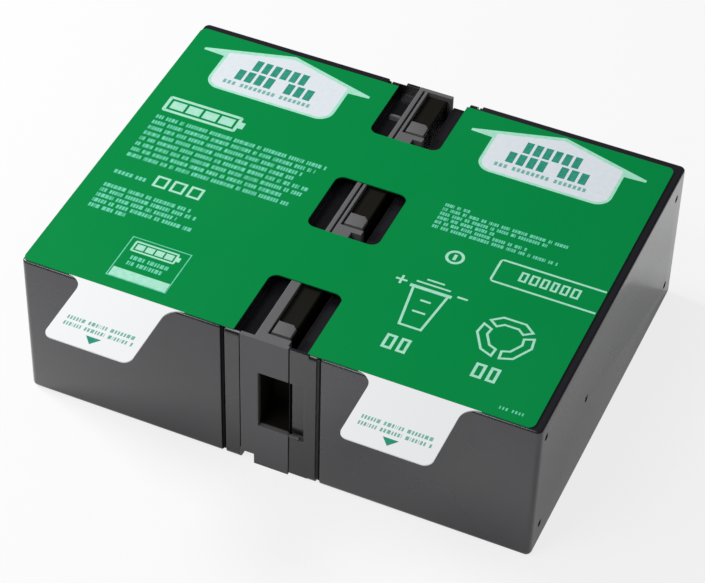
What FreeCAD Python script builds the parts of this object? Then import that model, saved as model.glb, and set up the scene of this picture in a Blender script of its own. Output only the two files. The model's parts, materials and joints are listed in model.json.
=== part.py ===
import FreeCAD, Part
import os
import re
import Sketcher

# Battery cartridge for an uninterruptible power supply.
#
# Two sealed lead-acid blocks lie on their sides with their lids face to face. A moulded
# strip between the lids holds the contacts, and one stiff label with two pull tabs lies
# over both blocks and ties them together.
#
# Frame: X across the two blocks, Y from the front (pull tabs) to the back (contacts), +Z up.
# The origin is the middle of the underside, half way between the lids and the block ends.
# A block's own frame has X from its container's bottom to its lid, with Y and Z as above.

SIZES = {
    # one lead-acid block
    "block_length": 151.0,
    "block_thickness": 65.0,
    "block_height": 94.2,
    "left_lid_height": 13.7,
    "right_lid_height": 11.0,
    "seam_width": 1.8,
    "seam_depth": 1.3,
    "case_corner": 2.4,
    "case_edge": 1.2,
    "case_wall": 2.5,
    "case_floor": 2.5,
    "partition": 1.5,
    "cell_count": 6,
    # lid
    "lid_neck": 7.2,
    "lid_step": 4.8,
    "lid_ledge": 2.6,
    "lid_cavity": 3.0,
    "lid_corner": 1.0,
    "rim_thickness": 1.3,
    "side_recess_low": 20.0,
    "side_recess_high": 48.3,
    "side_recess_reach": 5.6,
    "side_recess_depth": 2.3,
    # vents
    "vent_row": 14.5,
    "well_width": 11.0,
    "well_depth": 4.2,
    "stub_radius": 2.6,
    "stub_height": 3.0,
    "vent_width": 1.8,
    "cap_wall": 1.2,
    "cap_play": 0.05,
    "cover_width": 14.6,
    "cover_thickness": 1.5,
    "cover_margin": 2.5,
    "cover_play": 0.15,
    # plates of one cell
    "positive_count": 4,
    "positive_thickness": 2.0,
    "negative_thickness": 1.5,
    "plate_foot": 4.0,
    "plate_headroom": 31.2,
    "plate_side_gap": 1.0,
    "mat_overhang": 2.0,
    "lug_offset": 12.0,
    "lug_width": 9.0,
    "lug_height": 5.0,
    "strap_thickness": 4.0,
    "strap_width": 12.0,
    # terminals
    "terminal_inset": 20.0,
    "terminal_pocket_depth": 6.0,
    "terminal_pocket_length": 17.0,
    "terminal_pocket_width": 18.0,
    "terminal_foot": 6.0,
    "tab_width": 6.35,
    "tab_thickness": 0.8,
    "tab_length": 6.4,
    # moulded strip between the lids
    "strip_gap": 12.6,
    "strip_joint": 0.6,
    "strip_play": 0.15,
    "plate_thickness": 1.6,
    "wing_reach": 6.8,
    "front_wall": 4.3,
    "strip_wall": 2.0,
    "strip_floor": 2.0,
    "strip_inset": 1.3,
    "flange_reach": 1.7,
    "flange_height": 9.0,
    "wall_groove_width": 0.9,
    "wall_groove_depth": 3.0,
    "wall_groove_front": 45.0,
    "port_low": 20.8,
    "port_high": 48.3,
    "port_depth": 32.0,
    "cross_wall": 2.3,
    "cross_shelf": 3.7,
    "shelf_reach": 5.4,
    "cross_wall_height": 12.0,
    # contact carrier
    "carrier_top": 52.0,
    "carrier_width": 8.0,
    "carrier_wall": 1.6,
    "carrier_bay": 25.0,
    "latch_slot": 1.4,
    "latch_length": 6.2,
    "latch_width": 7.4,
    "latch_drop": 0.4,
    "middle_latch": 68.0,
    "rear_latch": 125.0,
    # contacts
    "sleeve_length": 6.5,
    "sleeve_wall": 0.7,
    "sleeve_play": 0.05,
    "contact_spacing": 6.0,
    "contact_setback": 3.0,
    # label
    "label_thickness": 0.5,
    "label_width": 197.3,
    "label_shift": 1.5,
    "label_front": 0.8,
    "label_back": 3.0,
    "label_corner": 2.5,
    "window_width": 28.7,
    "window_corner": 3.5,
    "front_notch": 32.3,
    "middle_window": 29.8,
    "rear_notch": 33.0,
    "tab_spacing": 113.2,
    "tab_neck": 34.0,
    "tab_reach": 31.1,
    "tab_end_corner": 3.3,
    "tab_root_corner": 6.0,
}

doc = FreeCAD.newDocument("battery_cartridge")
sheet = doc.addObject("Spreadsheet::Sheet", "sizes")
for row, (name, value) in enumerate(SIZES.items(), start=1):
    sheet.set("A%d" % row, name)
    sheet.set("B%d" % row, str(value))
    sheet.setAlias("B%d" % row, name)
doc.recompute()


# ---- modelling helpers ---------------------------------------------------------------

def bound(formula):
    """A formula in the sheet's names, such as "block_length / 2", as an expression."""
    return re.sub("[a-z_]+", lambda word: "sizes." * (word.group(0) in SIZES) + word.group(0),
                  "(%s)" % formula)


def add_body(label):
    body = doc.addObject("PartDesign::Body", label)
    body.Label = label
    return body


def origin_feature(body, role):
    return next(item for item in body.Origin.OriginFeatures if item.Role == role)


def add_sketch(body, plane, offset="0"):
    """A sketch on one of the body's own planes, moved by offset along its normal."""
    sketch = body.newObject("Sketcher::SketchObject", body.Label + "_sketch")
    sketch.AttachmentSupport = [(origin_feature(body, plane + "_Plane"), "")]
    sketch.MapMode = "FlatFace"
    sketch.setExpression("AttachmentOffset.Base.z", bound(offset))
    return sketch


def bind_constraint(sketch, kind, geometry, point, formula):
    """Hold one coordinate of a sketch point at a formula."""
    index = sketch.addConstraint(Sketcher.Constraint(kind, -1, 1, geometry, point, 1.0))
    sketch.setExpression("Constraints[%d]" % index, bound(formula))


def draw_polygon(sketch, corners):
    """A closed outline through corners given as pairs of formulas."""
    first = sketch.GeometryCount
    count = len(corners)
    start = [V(index, index * index, 0) for index in range(count)]
    for index in range(count):
        line = Part.LineSegment(start[index], start[(index + 1) % count])
        sketch.addGeometry(line, False)
    for index, (along, up) in enumerate(corners):
        following = first + (index + 1) % count
        sketch.addConstraint(Sketcher.Constraint("Coincident", first + index, 2, following, 1))
        bind_constraint(sketch, "DistanceX", first + index, 1, along)
        bind_constraint(sketch, "DistanceY", first + index, 1, up)


def draw_rectangle(sketch, low_x, high_x, low_y, high_y):
    draw_polygon(sketch, [(low_x, low_y), (high_x, low_y), (high_x, high_y), (low_x, high_y)])


def draw_circle(sketch, centre_x, centre_y, radius):
    index = sketch.addGeometry(Part.Circle(V(1, 1, 0), V(0, 0, 1), 1.0), False)
    bind_constraint(sketch, "DistanceX", index, 3, centre_x)
    bind_constraint(sketch, "DistanceY", index, 3, centre_y)
    size = sketch.addConstraint(Sketcher.Constraint("Radius", index, 1.0))
    sketch.setExpression("Constraints[%d]" % size, bound(radius))


def add_extrusion(body, kind, sketch, length, reverse=False, middle=False):
    feature = body.newObject("PartDesign::" + kind, body.Label + "_" + kind.lower())
    feature.Profile = (sketch, [""])
    feature.Reversed = reverse
    feature.Midplane = middle
    feature.setExpression("Length", bound(length))
    sketch.Visibility = False
    doc.recompute()
    return feature


def pad(body, sketch, length, reverse=False, middle=False):
    return add_extrusion(body, "Pad", sketch, length, reverse, middle)


def pocket(body, sketch, length, reverse=False, middle=False):
    before = body.Shape.Volume
    feature = add_extrusion(body, "Pocket", sketch, length, reverse, middle)
    if body.Shape.Volume >= before:
        raise RuntimeError("a pocket in %s removes nothing" % body.Label)
    return feature


def repeat_along_y(body, features, step, count):
    """Copies of features at equal steps towards +Y."""
    pattern = body.newObject("PartDesign::LinearPattern", body.Label + "_pattern")
    pattern.Originals = features
    pattern.Direction = (origin_feature(body, "Y_Axis"), [""])
    pattern.Mode = "Spacing"
    pattern.setExpression("Offset", bound(step))
    pattern.setExpression("Occurrences", bound(count))
    body.Tip = pattern
    doc.recompute()
    return pattern


def straight_edges(shape, axis):
    """Names and midpoints of the straight edges that run along axis."""
    found = []
    for number, edge in enumerate(shape.Edges, start=1):
        if isinstance(edge.Curve, Part.Line) and abs(abs(edge.Curve.Direction.dot(axis)) - 1) < 1e-6:
            middle = (edge.Vertexes[0].Point + edge.Vertexes[1].Point) / 2
            found.append(("Edge%d" % number, middle))
    return found


def fillet(body, base, names, radius):
    feature = body.newObject("PartDesign::Fillet", body.Label + "_fillet")
    feature.Base = (base, names)
    feature.setExpression("Radius", bound(radius))
    doc.recompute()
    return feature


def chamfer(body, base, names, size):
    feature = body.newObject("PartDesign::Chamfer", body.Label + "_chamfer")
    feature.Base = (base, names)
    feature.setExpression("Size", bound(size))
    doc.recompute()
    return feature


def close(first, second):
    return abs(first - second) < 0.01


V = FreeCAD.Vector
ALONG_X, ALONG_Y, ALONG_Z = V(1, 0, 0), V(0, 1, 0), V(0, 0, 1)

HALF_LENGTH = "block_length / 2"
MIDDLE = "block_thickness / 2"
SEAM = {"left": "(block_height - left_lid_height)", "right": "(block_height - right_lid_height)"}
LID_SHOULDER = "(block_height - lid_neck)"
CELL_STEP = "(block_length - 2 * case_wall + partition) / cell_count"
CELL_WIDTH = "(" + CELL_STEP + " - partition)"
FIRST_CELL = "(" + CELL_STEP + ") * (1 - cell_count) / 2"


def place_in_cartridge(item, side):
    """The right block is the left one turned over about Y, so both lids meet the strip."""
    item.setExpression("Placement.Base.x", bound("block_height + strip_gap / 2"))
    if side == "left":
        item.setExpression("Placement.Base.x", bound("-block_height - strip_gap / 2"))
    else:
        item.Placement.Rotation = FreeCAD.Rotation(ALONG_Y, 180)
        item.setExpression("Placement.Base.z", bound("block_thickness"))


# ---- container -----------------------------------------------------------------------

def make_container(side):
    """Moulded case with six cells in a row, open towards the lid."""
    seam = SEAM[side]
    body = add_body(side + "_container")

    outline = add_sketch(body, "YZ")
    draw_rectangle(outline, "-" + HALF_LENGTH, HALF_LENGTH, "0", "block_thickness")
    case = pad(body, outline, seam + " - seam_width / 2")
    names = [name for name, middle in straight_edges(case.Shape, ALONG_X)]
    corners = fillet(body, case, names, "case_corner")
    names = []
    for number, edge in enumerate(corners.Shape.Edges, start=1):
        if close(edge.BoundBox.XMax, 0):
            names.append("Edge%d" % number)
    chamfer(body, corners, names, "case_edge")

    rim = add_sketch(body, "YZ", seam + " - seam_width / 2")
    draw_rectangle(rim, "seam_depth - " + HALF_LENGTH, HALF_LENGTH + " - seam_depth",
                   "seam_depth", "block_thickness - seam_depth")
    pad(body, rim, "seam_width / 2")

    cell = add_sketch(body, "YZ", seam)
    draw_rectangle(cell, FIRST_CELL + " - " + CELL_WIDTH + " / 2",
                   FIRST_CELL + " + " + CELL_WIDTH + " / 2",
                   "case_wall", "block_thickness - case_wall")
    first_cell = pocket(body, cell, seam + " - case_floor")
    repeat_along_y(body, [first_cell], CELL_STEP, "cell_count")
    place_in_cartridge(body, side)


# ---- lid -----------------------------------------------------------------------------

VENT_FLOOR = "(block_height - cover_thickness - well_depth)"
TERMINAL_ROOT = "(block_height - terminal_pocket_depth)"
FRONT_TERMINAL = "(terminal_inset - " + HALF_LENGTH + ")"
REAR_TERMINAL = "(" + HALF_LENGTH + " - terminal_inset)"


def draw_vent_row(sketch, end_margin, half_width):
    """A rectangle round the row of six vents."""
    draw_rectangle(sketch, "%s - (%s)" % (FIRST_CELL, end_margin), "(%s) - %s" % (end_margin, FIRST_CELL),
                   "vent_row - (%s)" % half_width, "vent_row + (%s)" % half_width)


def make_lid(side):
    """Moulded lid: seam rim, full slab, and a narrower upper part with wells and pockets."""
    seam = SEAM[side]
    body = add_body(side + "_lid")

    rim = add_sketch(body, "YZ", seam)
    draw_rectangle(rim, "seam_depth - " + HALF_LENGTH, HALF_LENGTH + " - seam_depth",
                   "seam_depth", "block_thickness - seam_depth")
    pad(body, rim, "seam_width / 2")

    slab = add_sketch(body, "YZ", seam + " + seam_width / 2")
    draw_rectangle(slab, "-" + HALF_LENGTH, HALF_LENGTH, "0", "block_thickness")
    slab_pad = pad(body, slab, LID_SHOULDER + " - " + seam + " - seam_width / 2")
    names = [name for name, middle in straight_edges(slab_pad.Shape, ALONG_X)
             if close(abs(middle.y), SIZES["block_length"] / 2)]
    fillet(body, slab_pad, names, "case_corner")

    upper = add_sketch(body, "YZ", LID_SHOULDER)
    draw_rectangle(upper, "-" + HALF_LENGTH, HALF_LENGTH, "lid_step", "block_thickness - lid_step")
    upper_pad = pad(body, upper, "lid_neck")
    names = [name for name, middle in straight_edges(upper_pad.Shape, ALONG_X)
             if middle.x > SIZES["block_height"] - SIZES["lid_neck"]
             and middle.z < SIZES["block_thickness"] / 2]
    fillet(body, upper_pad, names, "lid_corner")

    rebate = add_sketch(body, "XZ")
    draw_rectangle(rebate, "block_height - flange_reach - strip_play", "block_height + 1",
                   "block_thickness - flange_height - strip_play", "block_thickness + 1")
    pocket(body, rebate, "block_length + 2", middle=True)

    cavity = add_sketch(body, "YZ", seam)
    draw_rectangle(cavity, FIRST_CELL + " - " + CELL_WIDTH + " / 2",
                   FIRST_CELL + " + " + CELL_WIDTH + " / 2",
                   "case_wall", "block_thickness - case_wall")
    first_cavity = pocket(body, cavity, "lid_cavity", reverse=True)
    repeat_along_y(body, [first_cavity], CELL_STEP, "cell_count")

    tray = add_sketch(body, "YZ", "block_height")
    draw_vent_row(tray, "well_width / 2 + cover_margin", "cover_width / 2")
    pocket(body, tray, "cover_thickness")
    well = add_sketch(body, "YZ", "block_height - cover_thickness")
    draw_vent_row(well, "well_width / 2", "well_width / 2")
    pocket(body, well, "well_depth")
    stub = add_sketch(body, "YZ", VENT_FLOOR)
    draw_circle(stub, FIRST_CELL, "vent_row", "stub_radius")
    first_stub = pad(body, stub, "stub_height")
    vent = add_sketch(body, "YZ", VENT_FLOOR + " + stub_height")
    draw_rectangle(vent, FIRST_CELL + " - vent_width / 2", FIRST_CELL + " + vent_width / 2",
                   "vent_row - vent_width / 2", "vent_row + vent_width / 2")
    first_vent = pocket(body, vent, VENT_FLOOR + " + stub_height - " + seam)
    repeat_along_y(body, [first_stub, first_vent], CELL_STEP, "cell_count")

    pockets = add_sketch(body, "YZ", "block_height")
    slots = add_sketch(body, "YZ", "block_height")
    for centre in (FRONT_TERMINAL, REAR_TERMINAL):
        draw_rectangle(pockets, centre + " - terminal_pocket_length / 2",
                       centre + " + terminal_pocket_length / 2",
                       MIDDLE + " - terminal_pocket_width / 2", MIDDLE + " + terminal_pocket_width / 2")
        draw_rectangle(slots, centre + " - tab_thickness / 2", centre + " + tab_thickness / 2",
                       MIDDLE + " - tab_width / 2", MIDDLE + " + tab_width / 2")
    pocket(body, pockets, "terminal_pocket_depth")
    pocket(body, slots, "block_height - " + seam)

    if side == "left":
        ledge = add_sketch(body, "XZ")
        draw_rectangle(ledge, LID_SHOULDER + " - lid_ledge", LID_SHOULDER,
                       "block_thickness - lid_step", "block_thickness + 1")
        pocket(body, ledge, "block_length - 2 * rim_thickness", middle=True)
        relief = add_sketch(body, "XY")
        draw_rectangle(relief, LID_SHOULDER, "block_height + 1",
                       "-" + HALF_LENGTH + " - 1", "plate_thickness + strip_play - " + HALF_LENGTH)
        pocket(body, relief, "block_thickness + 1", reverse=True)
        rear_rim = add_sketch(body, "XZ", "-" + HALF_LENGTH)
        draw_rectangle(rear_rim, LID_SHOULDER, "block_height - flange_reach - strip_play",
                       "lid_step", "block_thickness")
        pad(body, rear_rim, "rim_thickness")
    else:
        rim_plate = add_sketch(body, "XZ", HALF_LENGTH)
        draw_rectangle(rim_plate, LID_SHOULDER, "block_height", "0", "block_thickness - seam_depth")
        pad(body, rim_plate, "rim_thickness", reverse=True)
        recess = add_sketch(body, "XZ", HALF_LENGTH)
        draw_rectangle(recess, "block_height - side_recess_reach", "block_height + 1",
                       "block_thickness - side_recess_high", "block_thickness - side_recess_low")
        pocket(body, recess, "side_recess_depth", reverse=False)
    place_in_cartridge(body, side)


def make_vent_cover(side):
    """Flat strip that is welded into the lid's tray and keeps the valve caps down."""
    body = add_body(side + "_vent_cover")
    plate = add_sketch(body, "YZ", "block_height - cover_thickness")
    draw_vent_row(plate, "well_width / 2 + cover_margin - cover_play", "cover_width / 2 - cover_play")
    pad(body, plate, "cover_thickness")
    place_in_cartridge(body, side)


def make_valve_caps(side):
    """Six rubber caps, each over the stub of one cell's vent."""
    body = add_body(side + "_valve_caps")
    crown = add_sketch(body, "YZ", VENT_FLOOR)
    draw_circle(crown, FIRST_CELL, "vent_row", "stub_radius + cap_play + cap_wall")
    outside = pad(body, crown, "well_depth")
    bore = add_sketch(body, "YZ", VENT_FLOOR)
    draw_circle(bore, FIRST_CELL, "vent_row", "stub_radius + cap_play")
    inside = pocket(body, bore, "stub_height", reverse=True)
    repeat_along_y(body, [outside, inside], CELL_STEP, "cell_count")
    place_in_cartridge(body, side)


# ---- plates --------------------------------------------------------------------------

MAT = ("((" + CELL_WIDTH + " - positive_count * positive_thickness"
       " - (positive_count + 1) * negative_thickness) / (2 * positive_count))")
PLATE_STEP = "(positive_thickness + negative_thickness + 2 * " + MAT + ")"
PLATE_LOW = "(case_wall + plate_side_gap)"
PLATE_HIGH = "(block_thickness - case_wall - plate_side_gap)"
PLATE_BASE = "(case_floor + plate_foot)"
PLATE_TOP = "(block_height - plate_headroom)"
STRAP_BASE = "(" + PLATE_TOP + " + lug_height)"


def cell_centre(number):
    return "(" + FIRST_CELL + " + " + str(number) + " * " + CELL_STEP + ")"


def lug_centre(number, polarity):
    """Neighbouring cells have their lugs on opposite sides, so that straps can meet."""
    side = "+" if (number + polarity) % 2 else "-"
    return "(" + MIDDLE + " " + side + " lug_offset)"


def repeat_in_cells(body, features, step, count, cell_step, cell_count):
    """Copies at equal steps inside a cell, and again in the other cells."""
    pattern = repeat_along_y(body, features, step, count)
    pattern.Direction2 = (origin_feature(body, "Y_Axis"), [""])
    pattern.Mode2 = "Spacing"
    pattern.setExpression("Offset2", bound(cell_step))
    pattern.setExpression("Occurrences2", bound(cell_count))
    doc.recompute()


def make_plates(side, name, polarity, count, thickness, first):
    """All plates of one polarity, each with a lug on top."""
    body = add_body(side + "_" + name + "_plates")
    plate = add_sketch(body, "XY", PLATE_LOW)
    low = cell_centre(0) + " + " + first
    draw_rectangle(plate, PLATE_BASE, PLATE_TOP, low, low + " + " + thickness)
    plate_pad = pad(body, plate, PLATE_HIGH + " - " + PLATE_LOW)
    repeat_in_cells(body, [plate_pad], PLATE_STEP, count, CELL_STEP, "cell_count")
    for number, cells in ((0, "ceil(cell_count / 2)"), (1, "floor(cell_count / 2)")):
        lug = add_sketch(body, "XY", lug_centre(number, polarity) + " - lug_width / 2")
        low = cell_centre(number) + " + " + first
        draw_rectangle(lug, PLATE_TOP, STRAP_BASE, low, low + " + " + thickness)
        lug_pad = pad(body, lug, "lug_width")
        repeat_in_cells(body, [lug_pad], PLATE_STEP, count, "2 * " + CELL_STEP, cells)
    place_in_cartridge(body, side)


def make_separators(side):
    """Glass mats, each folded round the foot of one positive plate."""
    body = add_body(side + "_separators")
    mat = add_sketch(body, "XY", PLATE_LOW)
    low = cell_centre(0) + " - " + CELL_WIDTH + " / 2 + negative_thickness"
    inner_low = low + " + " + MAT
    inner_high = inner_low + " + positive_thickness"
    high = inner_high + " + " + MAT
    top = PLATE_TOP + " + mat_overhang"
    draw_polygon(mat, [(PLATE_BASE + " - " + MAT, low), (top, low), (top, inner_low),
                       (PLATE_BASE, inner_low), (PLATE_BASE, inner_high), (top, inner_high),
                       (top, high), (PLATE_BASE + " - " + MAT, high)])
    folded = pad(body, mat, PLATE_HIGH + " - " + PLATE_LOW)
    repeat_in_cells(body, [folded], PLATE_STEP, "positive_count", CELL_STEP, "cell_count")
    place_in_cartridge(body, side)


def strap_section(number, polarity):
    """Height and side limits of the strap over one cell's lugs."""
    centre = lug_centre(number, polarity)
    return (STRAP_BASE, STRAP_BASE + " + strap_thickness",
            centre + " - strap_width / 2", centre + " + strap_width / 2")


def make_straps(side):
    """Cast straps over the lugs; each inner one is welded through to the next cell."""
    body = add_body(side + "_cell_straps")
    last = SIZES["cell_count"] - 1
    reach = "(" + CELL_WIDTH + " / 2 - negative_thickness / 2)"
    runs = [(0, 0, 0), (last, last, 1)]
    runs += [(number, number + 1, 1) for number in range(last)]
    for first, final, polarity in runs:
        low, high, side_low, side_high = strap_section(first, polarity)
        strap = add_sketch(body, "XY", side_low)
        draw_rectangle(strap, low, high, cell_centre(first) + " - " + reach,
                       cell_centre(final) + " + " + reach)
        pad(body, strap, "strap_width")
    place_in_cartridge(body, side)


def cut_weld_windows(body):
    """Windows in the partitions that the straps pass through and fill."""
    for number in range(SIZES["cell_count"] - 1):
        low, high, side_low, side_high = strap_section(number, 1)
        wall = "(" + cell_centre(number) + " + " + CELL_WIDTH + " / 2)"
        window = add_sketch(body, "XZ", "-" + wall)
        draw_rectangle(window, low, high, side_low, side_high)
        pocket(body, window, "partition")


# ---- terminals -----------------------------------------------------------------------

def make_terminal(side, end):
    """Lead foot on the end cell's strap, and a flat tab that stands up through the lid."""
    body = add_body(side + "_" + end + "_terminal")
    centre = FRONT_TERMINAL if end == "front" else REAR_TERMINAL
    foot = add_sketch(body, "YZ", STRAP_BASE)
    draw_rectangle(foot, centre + " - terminal_foot / 2", centre + " + terminal_foot / 2",
                   MIDDLE + " - lug_offset + strap_width / 2", MIDDLE + " + tab_width / 2")
    pad(body, foot, "strap_thickness")
    tab = add_sketch(body, "YZ", STRAP_BASE)
    draw_rectangle(tab, centre + " - tab_thickness / 2", centre + " + tab_thickness / 2",
                   MIDDLE + " - tab_width / 2", MIDDLE + " + tab_width / 2")
    tab_pad = pad(body, tab, TERMINAL_ROOT + " + tab_length - " + STRAP_BASE)
    tip = SIZES["block_height"] - SIZES["terminal_pocket_depth"] + SIZES["tab_length"]
    names = [name for name, middle in straight_edges(tab_pad.Shape, ALONG_Y) if close(middle.x, tip)]
    chamfer(body, tab_pad, names, "tab_thickness")
    place_in_cartridge(body, side)


# ---- strip between the lids ----------------------------------------------------------

STRIP_LEFT = "(strip_play / 2 - strip_gap / 2)"
STRIP_RIGHT = "(strip_gap / 2 - strip_joint)"
STRIP_INNER = "(strip_gap / 2 - strip_inset)"
WALL_INSIDE = "(" + STRIP_LEFT + " + strip_wall)"
FLANGE_LEFT = "(" + STRIP_LEFT + " - flange_reach)"
CARRIER_LEFT = "(" + WALL_INSIDE + " + strip_play)"


def from_front(distance):
    return "(" + distance + " - " + HALF_LENGTH + ")"


def make_housing():
    """Moulded channel, open to the right: front plate with a wing, side wall and floor."""
    body = add_body("connector_housing")

    wall = add_sketch(body, "XZ")
    draw_polygon(wall, [(STRIP_LEFT, "0"), (STRIP_INNER, "0"), (STRIP_INNER, "strip_floor"),
                        (WALL_INSIDE, "strip_floor"), (WALL_INSIDE, "block_thickness"),
                        (FLANGE_LEFT, "block_thickness"),
                        (FLANGE_LEFT, "block_thickness - flange_height"),
                        (STRIP_LEFT, "block_thickness - flange_height")])
    pad(body, wall, "block_length", middle=True)

    front = add_sketch(body, "XZ", HALF_LENGTH)
    draw_polygon(front, [(FLANGE_LEFT, "0"), (STRIP_RIGHT, "0"), (STRIP_RIGHT, "block_thickness"),
                         ("-wing_reach - strip_gap / 2", "block_thickness"),
                         ("-wing_reach - strip_gap / 2", "lid_step"), (FLANGE_LEFT, "lid_step")])
    pad(body, front, "plate_thickness", reverse=True)
    thick = add_sketch(body, "XZ", HALF_LENGTH)
    draw_rectangle(thick, STRIP_LEFT, STRIP_INNER, "0", "block_thickness")
    pad(body, thick, "front_wall", reverse=True)
    rear = add_sketch(body, "XZ", "-" + HALF_LENGTH)
    draw_rectangle(rear, STRIP_LEFT, STRIP_RIGHT, "0", "block_thickness")
    pad(body, rear, "plate_thickness")

    for latch in ("middle_latch", "rear_latch"):
        back = from_front(latch + " - latch_slot")
        cross = add_sketch(body, "XY", "block_thickness")
        shelf_right = "(" + WALL_INSIDE + " + shelf_reach)"
        draw_polygon(cross, [(STRIP_LEFT, back), (STRIP_LEFT, back + " - cross_wall - cross_shelf"),
                             (shelf_right, back + " - cross_wall - cross_shelf"),
                             (shelf_right, back + " - cross_wall"),
                             (STRIP_INNER, back + " - cross_wall"), (STRIP_INNER, back)])
        pad(body, cross, "cross_wall_height", reverse=True)

    groove = add_sketch(body, "XY", "block_thickness")
    draw_rectangle(groove, STRIP_LEFT, STRIP_LEFT + " + wall_groove_width",
                   from_front("wall_groove_front"), HALF_LENGTH + " - plate_thickness")
    pocket(body, groove, "wall_groove_depth")

    for plane_offset, reverse in ((HALF_LENGTH, False), ("-" + HALF_LENGTH, True)):
        port = add_sketch(body, "XZ", plane_offset)
        draw_rectangle(port, STRIP_LEFT, STRIP_RIGHT, "port_low", "port_high")
        pocket(body, port, "port_depth", reverse=reverse)


def make_carrier():
    """Insert with a contact bay behind each port and three latch fingers on top."""
    body = add_body("contact_carrier")
    front = from_front("(front_wall + strip_play)")
    rear = "(" + HALF_LENGTH + " - plate_thickness - strip_play)"
    floor = "(strip_floor)"

    block = add_sketch(body, "YZ", CARRIER_LEFT)
    draw_rectangle(block, front, rear, floor, "carrier_top")
    pad(body, block, "carrier_width")

    bays = add_sketch(body, "YZ", CARRIER_LEFT)
    draw_rectangle(bays, front + " - 1", from_front("port_depth"), "port_low", "port_high")
    draw_rectangle(bays, HALF_LENGTH + " - port_depth", rear + " + 1", "port_low", "port_high")
    pocket(body, bays, "carrier_width", reverse=True)

    ribs = add_sketch(body, "YZ", CARRIER_LEFT + " + carrier_wall")
    middle_low = "(" + from_front("port_depth") + " + carrier_wall)"
    bay = "((-2 * " + middle_low + " - 2 * carrier_wall) / 3)"
    for index in range(3):
        low = "(" + middle_low + " + " + str(index) + " * (" + bay + " + carrier_wall))"
        draw_rectangle(ribs, low, low + " + " + bay,
                       floor + " + carrier_wall", "carrier_top - carrier_wall")
    pocket(body, ribs, "carrier_width", reverse=True)

    for latch in ("front_wall + latch_slot", "middle_latch", "rear_latch"):
        finger = add_sketch(body, "XY", "carrier_top")
        draw_rectangle(finger, CARRIER_LEFT + " + carrier_width - latch_width",
                       CARRIER_LEFT + " + carrier_width",
                       from_front("(" + latch + ")"), from_front("(" + latch + " + latch_length)"))
        pad(body, finger, "block_thickness - latch_drop - carrier_top")


# ---- contacts ------------------------------------------------------------------------

TAB_TIP = "(tab_length - terminal_pocket_depth - strip_gap / 2)"
SLEEVE_HIGH = "(tab_width / 2 + sleeve_play + sleeve_wall)"
SLEEVE_WIDE = "(tab_thickness / 2 + sleeve_play + sleeve_wall)"
SLEEVE_START = "(" + TAB_TIP + " + sleeve_wall - sleeve_length)"


def draw_sleeve(body, centre, start, direction):
    """Folded push-on sleeve over a tab; direction is the way from its mouth to its web."""
    outside = add_sketch(body, "YZ", start)
    draw_rectangle(outside, centre + " - " + SLEEVE_WIDE, centre + " + " + SLEEVE_WIDE,
                   MIDDLE + " - " + SLEEVE_HIGH, MIDDLE + " + " + SLEEVE_HIGH)
    pad(body, outside, "sleeve_length", reverse=direction < 0)
    inside = add_sketch(body, "YZ", start)
    draw_rectangle(inside, centre + " - " + SLEEVE_WIDE + " + sleeve_wall",
                   centre + " + " + SLEEVE_WIDE + " - sleeve_wall",
                   MIDDLE + " - " + SLEEVE_HIGH + " + sleeve_wall",
                   MIDDLE + " + " + SLEEVE_HIGH + " - sleeve_wall")
    pocket(body, inside, "sleeve_length - sleeve_wall + sleeve_play", reverse=direction > 0)


def make_series_link():
    """One strip with a sleeve at each end joins the two front terminals."""
    body = add_body("series_link")
    web = add_sketch(body, "YZ")
    draw_rectangle(web, FRONT_TERMINAL + " - tab_thickness / 2", FRONT_TERMINAL + " + tab_thickness / 2",
                   MIDDLE + " - tab_width / 2", MIDDLE + " + tab_width / 2")
    pad(body, web, "-2 * " + SLEEVE_START + " - 2 * sleeve_length", middle=True)
    draw_sleeve(body, FRONT_TERMINAL, SLEEVE_START, 1)
    draw_sleeve(body, FRONT_TERMINAL, "-" + SLEEVE_START, -1)


def make_output_contact(side):
    """Sleeve on a rear terminal and a blade that stands in the rear port."""
    body = add_body(side + "_output_contact")
    sleeve_end = "(" + SLEEVE_START + " + sleeve_length)"
    blade = "(-contact_spacing / 2)"
    bend = add_sketch(body, "XY", MIDDLE + " - tab_width / 2")
    draw_polygon(bend, [(sleeve_end, REAR_TERMINAL + " - tab_thickness / 2"),
                        (blade + " + tab_thickness", REAR_TERMINAL + " - tab_thickness / 2"),
                        (blade + " + tab_thickness", HALF_LENGTH + " - contact_setback"),
                        (blade, HALF_LENGTH + " - contact_setback"),
                        (blade, REAR_TERMINAL + " + tab_thickness / 2"),
                        (sleeve_end, REAR_TERMINAL + " + tab_thickness / 2")])
    pad(body, bend, "tab_width")
    draw_sleeve(body, REAR_TERMINAL, SLEEVE_START, 1)
    if side == "right":
        body.Placement.Rotation = FreeCAD.Rotation(ALONG_Y, 180)
        body.setExpression("Placement.Base.z", bound("block_thickness"))


# ---- label ---------------------------------------------------------------------------

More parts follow.
